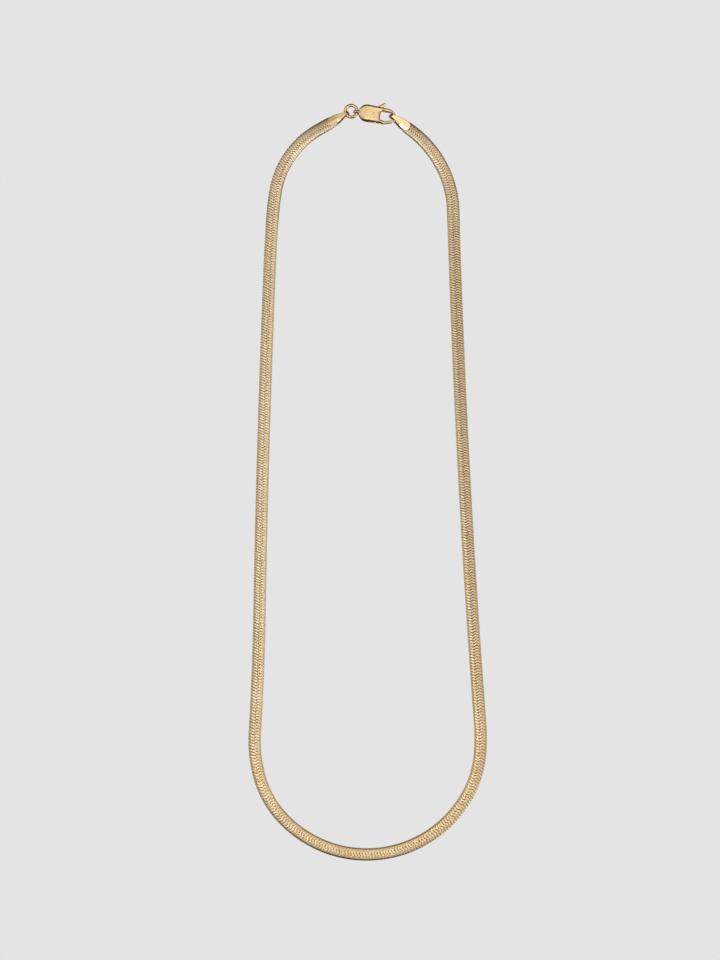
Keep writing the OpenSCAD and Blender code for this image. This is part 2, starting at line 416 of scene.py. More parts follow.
def rounded_node(node: str, name: str, voxel: float, passes: int,
                 shape: Callable[[np.ndarray, np.ndarray], np.ndarray],
                 trim: Callable[[np.ndarray], np.ndarray] = np.copy) -> bpy.types.Object:
    """Copies a CAD node's shape with its edges rounded.

    Args:
        node: The CAD node.
        name: The new piece's name.
        voxel: The size of the new mesh's cells, in millimetres.
        passes: How many times it is smoothed.
        shape: What moves the points first, given the points and their normals.
        trim: What moves the points last.

    Returns:
        The new piece.
    """
    source = frame["nodes"][node].data
    corners = np.array([tuple(vertex.co) for vertex in source.vertices]) / MM
    polygons = [tuple(face.vertices) for face in source.polygons]
    points, normals, faces = remeshed(corners, polygons, voxel)
    points, _, faces = remeshed(shape(points, normals), faces.tolist(), voxel)
    return mesh_object(name, trim(smoothed(points, faces, passes)), faces)


def dress(piece: bpy.types.Object, finish: Gold, body: Body, slot: Slot, *nodes: str) -> None:
    """Gives a piece its finish, sets it on its body and hides the CAD nodes that it replaces.

    Args:
        piece: The piece.
        finish: Its finish.
        body: The body that it rides on.
        slot: The record's slot for its finish; not used.
        nodes: The CAD nodes that it replaces.
    """
    piece.data.materials.append(bpy.data.materials.get(finish.name) or finish.material())
    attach(piece, body.value)
    if nodes:
        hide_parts(*nodes)
    piece.data.calc_loop_triangles()
    LOG.info("%s: %d triangles", piece.name, len(piece.data.loop_triangles))


# The chain

@dataclass
class Fastening:
    """Where the clasp, the ring and the tabs lie, as in the part's source.

    Sizes are in millimetres and degrees. The clasp's own frame starts at the middle of its
    front, and its x runs to the hook; the lever's joint places it on the table.
    """

    direction: float = -8.4
    pin: tuple[float, float] = (4.0, -0.15)
    lever_reach: float = 5.35
    ring_d: float = 3.9
    ring_wire: float = 0.78
    ring_play: float = 0.06
    ring_y: float = -0.1
    hook_seat: tuple[float, float] = (-0.88, 0.32)
    band_t: float = 1.1
    leaf_gap: float = 0.1
    tab_sheet: float = 0.3
    tab_len: float = 6.4
    tab_grip: float = 2.2
    neck_w: float = 0.95
    left_dir: float = 209.5
    right_dir: float = -36.0

    def on_table(self, x: float, y: float) -> np.ndarray:
        """Turns a place in the clasp's frame into one on the table.

        Args:
            x: Its place along the clasp.
            y: Its place across the clasp.

        Returns:
            Its x and y.
        """
        joint = np.array(frame["joints"][0]["pos_m"][:2]) / MM
        return joint + self.turned(np.array([[x - self.pin[0], y - self.pin[1]]]))[0]

    def turned(self, steps: np.ndarray) -> np.ndarray:
        """Turns rows of x and y from the clasp's frame to the table's."""
        along = self.way(self.direction)
        return steps @ np.array([along, [-along[1], along[0]]])

    def in_clasp(self, points: np.ndarray) -> np.ndarray:
        """Turns points on the table into the clasp's frame, with heights from its middle.

        Args:
            points: Rows of x, y and z.

        Returns:
            The same points in the clasp's frame.
        """
        joint = np.array(frame["joints"][0]["pos_m"]) / MM
        turn = math.radians(self.direction)
        x, y, z = (points - joint).T
        return np.stack([x * math.cos(turn) + y * math.sin(turn) + self.pin[0],
                         y * math.cos(turn) - x * math.sin(turn) + self.pin[1], z], 1)

    def ring_middle(self) -> np.ndarray:
        """The middle of the jump ring."""
        return self.on_table(-self.ring_play - self.ring_d / 2, self.ring_y)

    def folds(self) -> tuple[np.ndarray, np.ndarray]:
        """Works out where the tabs' folds lie.

        Returns:
            The middles of the left and of the right fold, in x, y and z.
        """
        fold = self.band_t / 2 + self.leaf_gap
        hole = self.ring_d / 2 - self.ring_wire
        seat = math.sqrt(hole ** 2 - (self.neck_w / 2) ** 2) - self.ring_play
        hook = self.on_table(self.pin[0] + self.lever_reach + self.hook_seat[0], self.hook_seat[1])
        height = frame["joints"][0]["pos_m"][2] / MM
        return (np.array([*(self.ring_middle() + (seat + fold) * self.way(self.left_dir)), height]),
                np.array([*(hook + fold * self.way(self.right_dir)), height]))

    def chain_ends(self) -> tuple[np.ndarray, np.ndarray]:
        """Works out where the chain starts and ends between the tabs' leaves.

        Returns:
            Its first and its last point, in x and y.
        """
        inside = self.tab_len - self.band_t / 2 - self.leaf_gap - self.tab_sheet - self.tab_grip
        left, right = self.folds()
        return (left[:2] + inside * self.way(self.left_dir),
                right[:2] + inside * self.way(self.right_dir))

    @staticmethod
    def way(direction: float) -> np.ndarray:
        """A step of length 1 in a direction in degrees."""
        return np.array([math.cos(math.radians(direction)), math.sin(math.radians(direction))])


@dataclass
class ChainRoute:
    """The line that the middle of the chain follows, as in the part's source.

    Sizes are in millimetres and degrees. A row of the table is a stretch: its share of the
    chain's length, and its turn to the left. The limbs and the base take what closes the loop.
    """

    fastening: Fastening
    length: float = 434.6
    closers: tuple[int, int, int] = (4, 8, 11)
    table: tuple[tuple[float, float], ...] = (
        (0.012, 0.0), (0.046, 50.5), (0.015, 5.7), (0.032, 1.9), (0.0, 1.4), (0.075, -2.4),
        (0.026, 17.8), (0.03, 28.5), (0.0, 0.0), (0.03, 27.0), (0.018, 7.8), (0.0, -2.6),
        (0.025, 23.8), (0.03, 27.0), (0.008, 1.5))

    def __post_init__(self) -> None:
        """Works out the stretches' lengths, headings and starts."""
        start, end = self.fastening.chain_ends()
        first, last = self.fastening.left_dir, self.fastening.right_dir
        turns = np.array([row[1] for row in self.table])
        turns[self.closers[1]] = last + FULL_TURN + HALF_TURN - first - turns.sum()
        self.turns = turns
        self.headings = first + np.concatenate([[0], np.cumsum(turns)])
        chords = self.chord(self.headings[:-1], turns)
        lengths = np.array([row[0] for row in self.table]) * self.length
        gap = end - start - lengths @ chords
        closing = np.vstack([chords[list(self.closers)].T, np.ones(3)])
        lengths[list(self.closers)] = np.linalg.solve(closing, [*gap, self.length - lengths.sum()])
        self.lengths = lengths
        self.marks = np.concatenate([[0], np.cumsum(lengths)])
        self.starts = start + np.vstack(
            [[0, 0], np.cumsum(lengths[:, None] * chords, axis=0)])

    @staticmethod
    def chord(heading: np.ndarray, turn: np.ndarray) -> np.ndarray:
        """The way covered by arcs of length 1.

        Args:
            heading: The directions in which they start, in degrees.
            turn: How far each turns to the left, in degrees.

        Returns:
            Rows of x and y.
        """
        half = np.radians(turn) / 2
        middle = np.radians(heading) + half
        return np.sinc(half / np.pi)[:, None] * np.stack([np.cos(middle), np.sin(middle)], 1)

    def at(self, place: np.ndarray) -> tuple[np.ndarray, np.ndarray]:
        """Points of the route.

        Args:
            place: Lengths from its start, in millimetres.

        Returns:
            The points, and the headings there in radians.
        """
        stretch = np.clip(np.searchsorted(self.marks, place, "right") - 1, 0, len(self.table) - 1)
        run = place - self.marks[stretch]
        turn = self.turns[stretch] * run / self.lengths[stretch]
        points = self.starts[stretch] + run[:, None] * self.chord(self.headings[stretch], turn)
        return points, np.radians(self.headings[stretch] + turn)


@dataclass
class WovenChain:
    """Rows of flattened wire woven into a flat band, each row one closed turn round it.

    Sizes are in millimetres. A row crosses the face in a wave, leaning back along its outer
    arm, dropping half a row at the seam and coming forward again to the inner edge. Below the
    band the wave has only the share under_wave of its reach. The spreads of lean, height,
    place and tone are what differs at random from row to row.
    """

    route: ChainRoute
    width: float = 3.3
    thickness: float = 1.1
    edge_w: float = 0.48
    edge_h: float = 0.12
    crown: float = 0.07
    end_w: float = 1.9
    taper: float = 2.6
    grip: float = 2.2
    drop: float = 16.0
    end_roll: float = 10.0
    end_z: float = 1.3
    wire_half: float = 0.13
    fill: float = 1.03
    smooth_fill: float = 0.02
    hole_fill: float = 0.45
    hole_w: float = 0.2
    hole_deep: float = 0.04
    tilt: float = -3.0
    lean_spread: float = 1.5
    height_spread: float = 0.008
    place_spread: float = 0.012
    first_row: float = 0.35
    last_room: float = 0.7
    under_wave: float = 0.6
    bevel_points: int = 4
    under_points: int = 3
    core_inset: float = 0.24
    core_room: float = 0.05
    core_steps: int = 420
    parts: int = 4
    seed: int = 7
    # Columns: place across a loose wire and height in it, as shares of its halves; the same for
    # a wire that is pressed smooth; and how dark the painted shade makes each there. From the top
    # down, for one half.
    profile: tuple[tuple[float, float, float, float, float, float], ...] = (
        (0.35, 1.0, 0.9, 1.0, 0.0, 0.0), (0.78, 0.84, 0.98, 0.97, 0.25, 0.0),
        (1.0, 0.4, 1.0, 0.85, 0.9, 0.3), (0.7, -1.0, 0.8, -1.0, 1.0, 1.0))
    # Columns: share of the chain's length, and spacing of the rows there
    spacing: tuple[tuple[float, float], ...] = (
        (0.0, 0.71), (0.05, 0.69), (0.15, 0.7), (0.25, 0.715), (0.32, 0.73), (0.37, 0.765),
        (0.44, 0.788), (0.56, 0.785), (0.63, 0.765), (0.7, 0.745), (0.74, 0.71), (0.8, 0.68),
        (0.88, 0.67), (1.0, 0.68))
    # Columns: place across (outwards is plus), and how far forward the wire lies there on the
    # left limb, the base and the right limb
    wave: tuple[tuple[float, float, float, float], ...] = (
        (1.59, -0.58, -0.28, -0.16), (1.33, -0.45, -0.13, -0.04), (1.06, -0.37, -0.04, 0.11),
        (0.8, -0.28, 0.07, 0.2), (0.53, -0.17, 0.2, 0.33), (0.4, -0.11, 0.23, 0.34),
        (0.27, -0.06, 0.22, 0.31), (0.13, -0.01, 0.13, 0.14), (0.0, -0.04, 0.0, 0.0),
        (-0.13, -0.22, -0.05, -0.01), (-0.27, -0.4, -0.08, -0.01), (-0.53, -0.39, -0.09, 0.01),
        (-0.8, -0.3, 0.05, 0.13), (-1.06, -0.21, 0.23, 0.23), (-1.33, -0.13, 0.19, 0.29),
        (-1.59, -0.05, 0.13, 0.29))
    # Columns: length from the start, then the shares of left limb, base and right limb
    limbs: tuple[tuple[float, float, float, float], ...] = (
        (160.0, 1.0, 0.0, 0.0), (200.0, 0.0, 1.0, 0.0), (265.0, 0.0, 1.0, 0.0),
        (300.0, 0.0, 0.0, 1.0))
    # Places across of the seam's holes on the left limb, the base and the right limb
    holes: tuple[float, float, float] = (-0.25, -0.2, -0.09)
    # How open they are, on the same three
    hole_shares: tuple[float, float, float] = (0.75, 0.35, 0.8)
    # Columns: place across, and how far apart the rows stand there, from pressed smooth to loose,
    # on the left limb, the base and the right limb
    looseness: tuple[tuple[float, float, float, float], ...] = (
        (-1.45, 0.2, 0.3, 0.3), (-1.2, 0.3, 0.4, 0.6), (-0.85, 0.5, 0.5, 0.7),
        (-0.4, 0.8, 0.5, 0.8), (0.0, 0.9, 0.6, 0.9), (0.9, 0.9, 0.6, 0.9),
        (1.25, 0.7, 0.5, 0.8), (1.6, 0.5, 0.4, 0.5))
    # How deep the gold's tone is on the left limb, the base and the right limb, which is painted
    # light, and by how much it differs from row to row
    tone: tuple[float, float, float] = (0.2, 1.0, 0.3)
    tone_spread: float = 0.3
    # Columns: share of the chain's length, and what the looseness is multiplied by there
    loosening: tuple[tuple[float, float], ...] = (
        (0.0, 0.5), (0.05, 0.8), (0.12, 0.95), (0.19, 0.8), (0.34, 0.85), (0.42, 0.65),
        (0.49, 1.0), (0.56, 0.9), (0.7, 1.1), (0.78, 1.15), (0.86, 1.3), (0.92, 1.1),
        (0.96, 0.7), (1.0, 0.5))

    def half_width(self, place: np.ndarray) -> np.ndarray:
        """Half of the chain's width at lengths from its start."""
        near = np.minimum(1.0, np.minimum(place, self.route.length - place).clip(0) / self.taper)
        return self.end_w / 2 + (self.width - self.end_w) / 2 * np.sqrt(1 - (1 - near) ** 2)

    def end_share(self, place: np.ndarray) -> np.ndarray:
        """How much of an end's lift and roll there is.

        Args:
            place: Lengths from the chain's start.

        Returns:
            The shares, 1 at both ends and 0 where the chain lies on the table.
        """
        near = np.minimum(place, self.route.length - place)
        share = ((near - self.grip) / self.drop).clip(0, 1)
        return 1 - share * share * (3 - 2 * share)

    def row_places(self) -> np.ndarray:
        """Works out where the rows cross the middle.

        Returns:
            Lengths from the chain's start.
        """
        columns = np.array(self.spacing)
        places = [self.first_row]
        while places[-1] < self.route.length - self.last_room:
            share = places[-1] / self.route.length
            places.append(places[-1] + float(np.interp(share, columns[:, 0], columns[:, 1])))
        return np.array(places)

    def section(self, inset: float) -> tuple[np.ndarray, np.ndarray, np.ndarray]:
        """The way of a wire once round the band, for its full width.

        Args:
            inset: How far inside the band's outline it lies.

        Returns:
            Places across (outwards is plus), heights from the middle, and the share of the
            face's wave that each has.
        """
        half, top = self.width / 2 - inset, self.thickness / 2 - inset
        side = self.edge_h / 2
        flat = half - self.edge_w
        across = np.array([row[0] for row in self.wave])
        face = across[np.abs(across) < flat]
        crown = self.crown * (1 - (face / flat) ** 2)
        curve = np.radians(np.linspace(0, 90, self.bevel_points))
        bevel_x = flat + self.edge_w * np.sin(curve)
        shoulder = top - self.crown
        bevel_z = side + (shoulder - side) * np.cos(curve)
        under = np.radians(np.linspace(90, 0, self.under_points))
        under_x = flat + self.edge_w * np.sin(under)
        under_z = -side - (top - side) * np.cos(under)
        middle = np.zeros(1)
        x = np.concatenate([bevel_x[::-1], face, -bevel_x, -under_x, middle, under_x[::-1]])
        z = np.concatenate([bevel_z[::-1], shoulder + crown, bevel_z, under_z, middle - top,
                            under_z[::-1]])
        return x, z, np.clip((z + side) / (2 * side), 0, 1)

    def limb_shares(self, place: np.ndarray) -> np.ndarray:
        """How much of the left limb, base and right limb there is at lengths from the start."""
        columns = np.array(self.limbs)
        return np.stack([np.interp(place, columns[:, 0], columns[:, k]) for k in (1, 2, 3)], 1)

    @staticmethod
    def by_limb(table: Sequence[tuple], x: np.ndarray, shares: np.ndarray) -> np.ndarray:
        """Reads a table of places across and values for the three limbs.

        Args:
            table: Its rows, in order of their places.
            x: Places across, for the full width.
            shares: Rows of the limbs' shares.

        Returns:
            A row of values for each row of shares.
        """
        columns = np.array(sorted(table))
        return shares @ np.stack([np.interp(x, columns[:, 0], columns[:, k]) for k in (1, 2, 3)])

    def place_on(self, place: np.ndarray, x: np.ndarray, z: np.ndarray) -> np.ndarray:
        """Turns places along, across and up into points.

        Args:
            place: Lengths along the route.
            x: Places across, outwards plus.
            z: Heights from the band's middle.

        Returns:
            Points, with a last axis of three.
        """
        flat = place.ravel()
        inside = flat.clip(0.0, self.route.length)
        points, heading = self.route.at(inside)
        points = points + (flat - inside)[:, None] * np.stack([np.cos(heading), np.sin(heading)], 1)
        lift = self.end_share(inside)
        roll = np.radians(self.end_roll) * lift
        across, up = -x.ravel(), z.ravel()
        inwards = across * np.cos(roll) - up * np.sin(roll)
        height = across * np.sin(roll) + up * np.cos(roll)
        middle = self.thickness / 2 + (self.end_z - self.thickness / 2) * lift
        shaped = np.stack([points[:, 0] - inwards * np.sin(heading),
                           points[:, 1] + inwards * np.cos(heading), middle + height], 1)
        return shaped.reshape(*place.shape, 3)

    def wires(self) -> tuple[np.ndarray, np.ndarray, np.ndarray]:
        """Works out the rows' surfaces.

        Returns:
            Points by row, step round the band and side of the wire; how much painted shade each
            takes, darkest down in the gap; and a tone for each row.
        """
        rng = np.random.default_rng(self.seed)
        rows = self.row_places()
        x, z, wave_share = self.section(self.wire_half)
        shares = self.limb_shares(rows)
        wave = self.by_limb(self.wave, x, shares)
        ahead = wave * (self.under_wave + (1 - self.under_wave) * wave_share)
        rows = rows + rng.normal(0, self.place_spread, len(rows))
        place = rows[:, None] + ahead
        across = x * self.half_width(place) / (self.width / 2)
        top = z > 0
        loosening = np.interp(rows / self.route.length, *zip(*self.loosening))[:, None] * top
        loose = self.by_limb(self.looseness, x, shares) * loosening
        hole = np.exp(-((x - (shares @ np.array(self.holes))[:, None]) / self.hole_w) ** 2)
        hole *= (shares @ np.array(self.hole_shares))[:, None] * loosening
        lift = rng.normal(0, self.height_spread, len(rows))[:, None] * loose
        centre = self.place_on(place, across, z - self.hole_deep * hole + lift)
        along = np.roll(centre, -1, axis=1) - np.roll(centre, 1, axis=1)
        along /= np.linalg.norm(along, axis=2, keepdims=True)
        step = np.gradient(centre, axis=0)
        step -= (step * along).sum(2, keepdims=True) * along
        room = np.linalg.norm(step, axis=2, keepdims=True)
        beside = step / room
        outward = np.cross(beside, along)
        fill = self.fill + self.smooth_fill * (1 - loose) - (self.fill - self.hole_fill) * hole
        half = room[..., 0] / 2 * fill
        lean = self.tilt + rng.normal(0, self.lean_spread, len(rows))
        lean = np.radians(lean)[:, None] * loose
        out, down = [], []
        other_half = tuple((-row[0], row[1], -row[2], *row[3:]) for row in reversed(self.profile))
        for loose_u, loose_w, flat_u, flat_w, loose_dark, flat_dark in self.profile + other_half:
            u = half * (flat_u + (loose_u - flat_u) * loose)
            w = self.wire_half * (flat_w + (loose_w - flat_w) * loose)
            # painted shade: how dark this point of the wire is painted
            down.append((flat_dark + (loose_dark - flat_dark) * loose).clip(0, 1))
            u, w = u * np.cos(lean) - w * np.sin(lean), u * np.sin(lean) + w * np.cos(lean)
            out.append(centre + u[..., None] * beside + w[..., None] * outward)
        # painted light by limb, a deeper base and paler limbs, plus a random tone for each row
        tones = shares @ np.array(self.tone) + self.tone_spread * rng.random(len(rows))
        return np.stack(out, 2), np.stack(down, 2), tones

    def build_rows(self, finish: Gold) -> None:
        """Makes the rows, in a few pieces.

        Args:
            finish: The wires' finish.
        """
        points, down, tones = self.wires()
        count, steps, sides = points.shape[:3]
        turn = ring_faces(steps, sides)
        for part, rows in enumerate(np.array_split(np.arange(count), self.parts)):
            starts = np.arange(len(rows)) * steps * sides
            faces = (turn[None] + starts[:, None, None]).reshape(-1, 4)
            piece = mesh_object(f"woven_rows_{part + 1}", points[rows].reshape(-1, 3), faces)
            # the rows' tones and the painted shade in the gaps, as attributes for the finish
            for name, values in (("row_tone", np.repeat(tones[rows], steps * sides)),
                                 ("painted_gap_shade", down[rows].ravel())):
                layer = piece.data.attributes.new(name, "FLOAT", "POINT")
                layer.data.foreach_set("value", values.astype(np.float32))
            dress(piece, finish, Body.NECKLACE, Slot.CHAIN, "herringbone_band")

    def build_core(self, finish: Gold) -> None:
        """Makes the inner links that show between the rows as one body darkened with painted shade.

        Args:
            finish: Their finish.
        """
        inset, room = self.core_inset, self.core_room
        x, z, _ = self.section(inset)
        stations = np.linspace(room, self.route.length - room, self.core_steps)
        place = np.repeat(stations[:, None], len(x), axis=1)
        across = x * (self.half_width(place) - inset) / (self.width / 2 - inset)
        points = self.place_on(place, across, np.broadcast_to(z, place.shape))
        faces = ring_faces(len(stations), len(x), closed=False).tolist()
        last = (len(stations) - 1) * len(x)
        faces.append(list(range(len(x)))[::-1])
        faces.append([last + k for k in range(len(x))])
        mesh = bpy.data.meshes.new("inner_links")
        mesh.from_pydata(points.reshape(-1, 3) * MM, [], faces)
        piece = bpy.data.objects.new("inner_links", mesh)
        bpy.context.scene.collection.objects.link(piece)
        dress(piece, finish, Body.NECKLACE, Slot.CHAIN)

    def build(self) -> None:
        """Makes the chain."""
        self.build_rows(WovenGold("woven gold", colour=(0.84, 0.72, 0.535), deep=(0.72, 0.55, 0.345),
                                  roughness=0.33))
        # painted shade: the inner links are coloured a darker gold than the wires
        self.build_core(Gold("links in shadow", colour=(0.5, 0.33, 0.14), deep=(0.35, 0.21, 0.08),
                             roughness=0.45))


# The fittings

@dataclass
class EndTabs:
    """The two folded tabs at the chain's ends, with their leaves pressed round the chain.

    Sizes are in millimetres. From press_from on, measured from the fold, the leaves come to
    slope towards the chain over a length of press_over. They are level over level_w to each
    side of the middle and come down by the press at their long edges: the first for the loop's
    outside, the second for its inside.
    """

    fastening: Fastening
    voxel: float = 0.045
    passes: int = 6
    half_w: float = 1.22
    level_w: float = 0.1
    press: tuple[float, float] = (0.06, 0.36)
    press_from: float = 1.2
    press_over: float = 1.6

    def pressed(self, fold: np.ndarray, direction: float, inner: int,
                points: np.ndarray) -> np.ndarray:
        """Bends the long edges of both leaves towards the chain.

        Args:
            fold: The middle of the tab's fold, in x, y and z.
            direction: The tab's direction from its fold to the chain, in degrees.
            inner: 1 if the loop's inside is to the left of that direction, or else -1.
            points: Its points.

        Returns:
            The moved points.
        """
        turn = math.radians(direction)
        away = points - fold
        along = away[:, 0] * math.cos(turn) + away[:, 1] * math.sin(turn)
        across = away[:, 1] * math.cos(turn) - away[:, 0] * math.sin(turn)
        share = ((along - self.press_from) / self.press_over).clip(0, 1)
        slope = ((np.abs(across) - self.level_w) / (self.half_w - self.level_w)).clip(0, None)
        bend = np.where(across * inner > 0, self.press[1], self.press[0]) * share * slope
        moved = points.copy()
        moved[:, 2] -= np.sign(away[:, 2]) * bend
        return moved

    def build(self) -> None:
        """Makes both tabs from their nodes."""
        finish = Gold("tab gold", colour=(0.95, 0.75, 0.48), deep=(0.9, 0.67, 0.38), roughness=0.13)
        folds = self.fastening.folds()
        directions = (self.fastening.left_dir, self.fastening.right_dir)
        nodes = ("end_tab_left", "end_tab_right")
        for node, fold, direction, inner in zip(nodes, folds, directions, (1, -1)):
            piece = rounded_node(node, node + "_sheet", self.voxel, self.passes,
                                 lambda points, _: self.pressed(fold, direction, inner, points))
            dress(piece, finish, Body.NECKLACE, Slot.TAB, node)


@dataclass
class JumpRing:
    """The wire ring, with the cut where its ends meet.

    Sizes are in millimetres. The cut lies at cut_turn, in degrees. Each end of the wire closes
    in two small rings, whose sizes are the shares tip of the wire's.
    """

    fastening: Fastening
    cut: float = 0.03
    cut_turn: float = 245.0
    tip: tuple[float, float] = (0.02, 0.9)
    steps: int = 96
    sides: int = 24

    def build(self) -> None:
        """Makes the ring in the place of its node."""
        low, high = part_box("jump_ring")
        middle = np.array([*self.fastening.ring_middle(), (low[2] + high[2]) / 2 / MM])
        wire = self.fastening.ring_wire / 2
        radius = self.fastening.ring_d / 2 - wire
        gap = self.cut / radius
        start = math.radians(self.cut_turn) + gap / 2
        turn = np.linspace(start, start + 2 * math.pi - gap, self.steps)
        ends = np.concatenate([[turn[0]] * 2, turn, [turn[-1]] * 2])
        size = np.concatenate([self.tip, np.ones(self.steps), self.tip[::-1]])
        angle = 2 * math.pi * np.arange(self.sides) / self.sides
        across = radius + wire * size[:, None] * np.cos(angle)
        points = np.stack([across * np.cos(ends)[:, None], across * np.sin(ends)[:, None],
                           wire * size[:, None] * np.sin(angle)], -1)
        faces = ring_faces(len(ends), self.sides, closed=False)
        piece = mesh_object("jump_ring_wire", points.reshape(-1, 3) + middle, faces)
        finish = Gold("ring gold", colour=(0.93, 0.7, 0.4), deep=(0.88, 0.62, 0.31),
                      roughness=0.11)
        dress(piece, finish, Body.NECKLACE, Slot.RING, "jump_ring")


@dataclass
class LeverClasp:
    """The clasp: its satin body, its sprung lever and the rivet between them.

    Sizes are in millimetres. The body's faces come down to its walls in round rims, which are
    tighter along the hook and the lever. The breaks of its side view are softened over soften
    to each side, and its faces run evenly up to the rivet, as if filed with it. That takes in
    what lies within filed_r of the pin and no more than filed_deep below the rivet's ends.
    """

    fastening: Fastening
    body_voxel: float = 0.06
    lever_voxel: float = 0.045
    passes: int = 12
    lever_passes: int = 4
    rim_w: float = 0.6
    rim_low: float = 0.5
    hook_rim_w: float = 0.3
    hook_rim_low: float = 0.12
    hook_from: float = 7.2
    hook_over: float = 1.2
    lever_rim_w: float = 0.34
    lever_rim_low: float = 0.1
    wall_slope: float = 0.35
    # Places along the clasp and half thicknesses there, as in the part's source
    side: tuple[tuple[float, float], ...] = ((0.0, 0.91), (1.47, 1.3), (5.05, 1.3), (8.785, 0.4))
    soften: float = 1.1
    soften_steps: int = 9
    face_r: float = 5.1
    bore_r: float = 0.37
    rivet_r: float = 0.355
    rivet_half: float = 1.29
    rivet_edge: float = 0.02
    rivet_dot: float = 0.001
    rivet_sides: int = 48
    pin_clear: float = 0.9
    filed_r: float = 0.66
    filed_deep: float = 0.12

    def rounded(self, points: np.ndarray, normals: np.ndarray, low: np.ndarray | float,
                width: np.ndarray | float) -> np.ndarray:
        """Brings faces down to the walls in round rims.

        Args:
            points: Points of a flat piece of the clasp.
            normals: Their normals, which tell its walls.
            low: The height from the clasp's middle at which a rim starts.
            width: How far it reaches inwards.

        Returns:
            The moved points.
        """
        inside = self.fastening.in_clasp(points)
        height = np.abs(inside[:, 2])
        off_pin = np.hypot(*(inside[:, :2] - self.fastening.pin).T) > self.pin_clear
        walls = np.flatnonzero((np.abs(normals[:, 2]) < self.wall_slope) & (height > low) & off_pin)
        tree = KDTree(len(walls))
        for place, wall in enumerate(walls):
            tree.insert((*inside[wall, :2], 0.0), place)
        tree.balance()
        away = np.array([tree.find((x, y, 0.0))[2] for x, y in inside[:, :2]])
        share = np.sqrt(1 - (1 - (away / width).clip(0, 1)) ** 2)
        lowered = np.where(height > low, low + (height - low) * share, height)
        moved = points.copy()
        moved[:, 2] += np.sign(inside[:, 2]) * (lowered - height)
        return moved

    def side_at(self, x: np.ndarray, soften: float) -> np.ndarray:
        """Half of the body's thickness along the clasp.

        Args:
            x: Places along the clasp.
            soften: How far to each side the breaks are spread.

        Returns:
            The half thicknesses.
        """
        line = np.array(self.side)
        return np.mean([np.interp(x + step, line[:, 0], line[:, 1])
                        for step in np.linspace(-soften, soften, self.soften_steps)], axis=0)

    def body_shape(self, points: np.ndarray, normals: np.ndarray) -> np.ndarray:
        """Softens the body's side view and rounds its rims.

        Args:
            points: Its points.
            normals: Their normals.

        Returns:
            The moved points.
        """
        inside = self.fastening.in_clasp(points)
        x, height = inside[:, 0], np.abs(inside[:, 2])
        cad, soft = self.side_at(x, 0.0), self.side_at(x, self.soften)
        thick = (height > self.rim_low) & (cad > self.rim_low)
        room = np.where(thick, cad - self.rim_low, 1.0)
        share = np.where(thick, np.minimum(soft - self.rim_low, room) / room, 1.0)
        moved = points.copy()
        moved[:, 2] += np.sign(inside[:, 2]) * (height - self.rim_low) * (share - 1) * thick
        hook = ((x - self.hook_from) / self.hook_over).clip(0, 1)
        low = self.rim_low + (self.hook_rim_low - self.rim_low) * hook
        return self.rounded(moved, normals, low, self.rim_w + (self.hook_rim_w - self.rim_w) * hook)

    def lever_shape(self, points: np.ndarray, normals: np.ndarray) -> np.ndarray:
        """Rounds the lever's rims."""
        return self.rounded(points, normals, self.lever_rim_low, self.lever_rim_w)

    def filed(self, points: np.ndarray) -> np.ndarray:
        """Evens the body's faces round the rivet and draws their rims in to its bore.

        Args:
            points: The body's points.

        Returns:
            The moved points.
        """
        inside = self.fastening.in_clasp(points)
        off = inside[:, :2] - self.fastening.pin
        away = np.hypot(*off.T)
        outer = np.abs(inside[:, 2]) > self.rivet_half - self.filed_deep
        near = (away < self.filed_r) & outer
        crown = self.face_r - np.sqrt(self.face_r ** 2 - inside[:, 1] ** 2)
        level = np.sign(inside[:, 2]) * (self.side_at(inside[:, 0], self.soften) - crown)
        moved = points.copy()
        moved[near, 2] += (level - inside[:, 2])[near]
        rim = near & (away < self.bore_r + self.body_voxel)
        moved[rim, :2] += self.fastening.turned(off[rim] * (self.bore_r / away[rim] - 1)[:, None])
        return moved

    def build_rivet(self, finish: Gold) -> None:
        """Makes the rivet as a turned pin with softened ends.

        Args:
            finish: Its finish.
        """
        half, edge = self.rivet_half, self.rivet_edge
        line = [(self.rivet_dot, half), (self.rivet_r - 2 * edge, half),
                (self.rivet_r - edge, half), (self.rivet_r, half - edge)]
        line += [(radius, -height) for radius, height in reversed(line)]
        turn = 2 * math.pi * np.arange(self.rivet_sides) / self.rivet_sides
        radius, height = np.array(line).T
        points = np.stack([radius[:, None] * np.cos(turn), radius[:, None] * np.sin(turn),
                           np.broadcast_to(height[:, None], (len(line), len(turn)))], -1)
        middle = np.array(frame["joints"][0]["pos_m"]) / MM
        faces = ring_faces(len(line), len(turn), closed=False)[:, ::-1]
        piece = mesh_object("lever_rivet", points.reshape(-1, 3) + middle, faces)
        dress(piece, finish, Body.NECKLACE, Slot.LEVER, "lever_pin")

    def build(self) -> None:
        """Makes the clasp's three pieces."""
        satin = SatinGold("clasp gold", colour=(0.97, 0.76, 0.48), deep=(0.92, 0.68, 0.38),
                          roughness=0.22, turn=math.radians(self.fastening.direction))
        bright = Gold("lever gold", colour=(0.93, 0.7, 0.4), deep=(0.88, 0.62, 0.31),
                      roughness=0.12)
        shell = rounded_node("clasp_body", "clasp_shell", self.body_voxel, self.passes,
                             self.body_shape, self.filed)
        dress(shell, satin, Body.NECKLACE, Slot.CLASP, "clasp_body")
        lever = rounded_node("clasp_lever", "lever_plate", self.lever_voxel, self.lever_passes,
                             self.lever_shape)
        dress(lever, bright, Body.LEVER, Slot.LEVER, "clasp_lever")
        self.build_rivet(satin)


# The studio

